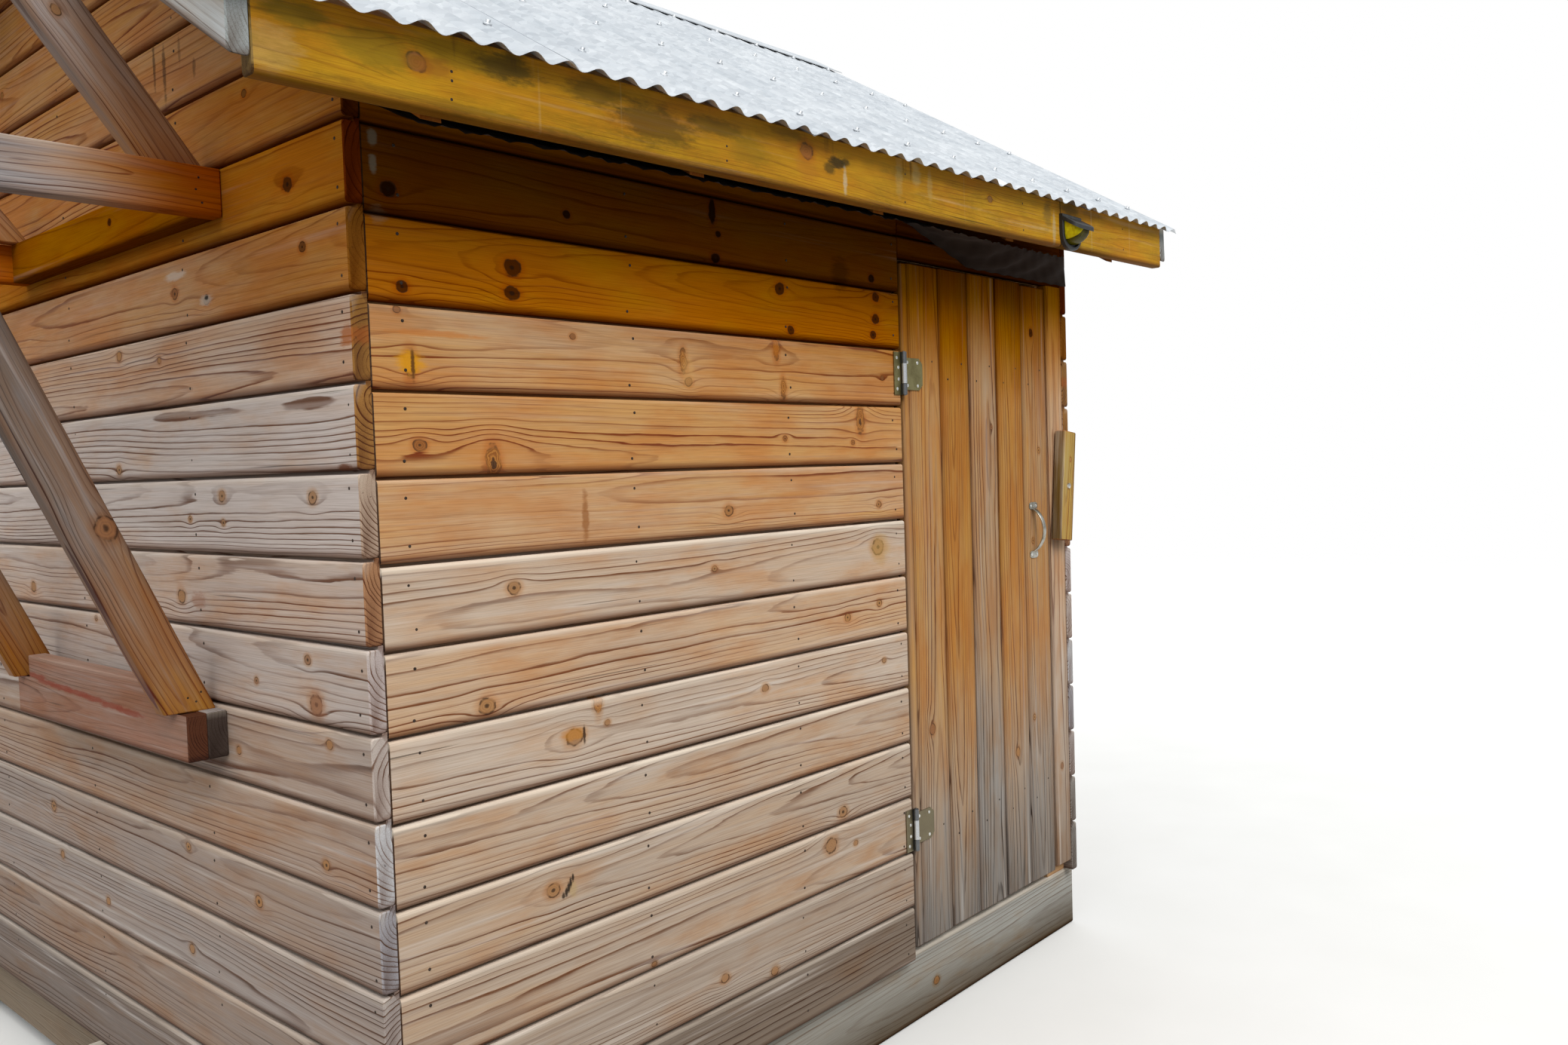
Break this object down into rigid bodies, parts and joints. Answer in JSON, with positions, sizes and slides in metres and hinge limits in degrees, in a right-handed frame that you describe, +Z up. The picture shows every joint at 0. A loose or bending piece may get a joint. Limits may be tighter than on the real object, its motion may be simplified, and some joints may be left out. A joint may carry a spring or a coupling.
{
  "type": "ice fishing hut",
  "caption": "Small square board-clad cabin on three skid timbers, with a gabled corrugated roof, a hinged plank door with a wooden turn button, and a timber bracket rack on its left wall.",
  "frame": {"origin": "on the ground, at the centre of the underside of the middle skid timber, which is the middle of the hut's footprint", "axes": "+Z up, the door side faces -Y, +X runs along the ridge to the right as seen from the door side"},
  "size_m": [3.2594, 2.9378, 3.0955],
  "materials": {
    "skid_wood": "weathered treated timber, greenish grey, matte",
    "frame_wood": "sawn softwood, matte",
    "front_boards": "oiled softwood boards, tan-orange, satin",
    "shaded_boards": "oiled softwood boards, deep orange-brown, satin",
    "side_boards": "weathered softwood boards, pinkish grey, matte",
    "door_boards": "softwood boards, tan, grey towards the bottom, matte",
    "fascia_wood": "mossy yellow-green weathered board, matte",
    "grey_wood": "silver-grey weathered board, matte",
    "rack_wood": "weathered softwood, orange-brown to grey, matte",
    "ledger_wood": "reddish weathered board, matte",
    "roof_steel": "galvanised corrugated sheet, dull",
    "hinge_steel": "yellow-zinc plated steel, dull",
    "pull_steel": "bright zinc plated steel",
    "eave_fabric": "black woven barrier cloth, torn edge",
    "light_plastic": "black plastic, satin",
    "lens_plastic": "yellowed clear plastic, glossy"
  },
  "bodies": {
    "hut": {"front_skid": "skid_wood", "middle_skid": "skid_wood", "back_skid": "skid_wood", "floor_joists": "frame_wood", "floor_deck": "frame_wood", "bottom_plates": "frame_wood", "wall_studs": "frame_wood", "top_plates": "frame_wood", "door_lintel": "frame_wood", "front_wall": "front_boards", "door_header": "shaded_boards", "door_post": "front_boards", "left_wall": "side_boards", "right_wall": "side_boards", "back_wall": "side_boards", "rafters": "frame_wood", "ridge_board": "frame_wood", "purlins": "frame_wood", "front_fascia": "fascia_wood", "back_fascia": "fascia_wood", "left_gable_rafters": "grey_wood", "right_gable_rafters": "grey_wood", "front_under_sheets": "roof_steel", "front_over_sheets": "roof_steel", "back_under_sheets": "roof_steel", "back_over_sheets": "roof_steel", "ridge_cap": "roof_steel", "eave_cloth": "eave_fabric", "light_housing": "light_plastic", "light_lens": "lens_plastic", "upper_ledger": "rack_wood", "inner_ledger": "grey_wood", "outer_ledger": "ledger_wood", "rack_arms": "rack_wood", "rack_braces": "rack_wood", "rack_struts": "rack_wood", "rack_rail": "rack_wood", "wall_hinge_leaves": "hinge_steel", "button_screw": "pull_steel"},
    "door": {"door_leaf": "door_boards", "door_ledges": "frame_wood", "door_hinge_leaves": "hinge_steel", "pull_handle": "pull_steel"},
    "latch": {"turn_button": "front_boards"}
  },
  "joints": [
    {"name": "door_swing", "type": "hinge", "parent": "hut", "child": "door", "pos_m": [0.321, -1.227, 0], "axis": [0, 0, -1], "range_deg": [0, 170]},
    {"name": "latch_turn", "type": "hinge", "parent": "hut", "child": "latch", "pos_m": [1.142, -1.243, 1.414], "axis": [0, -1, 0], "range_deg": [0, 96]}
  ]
}
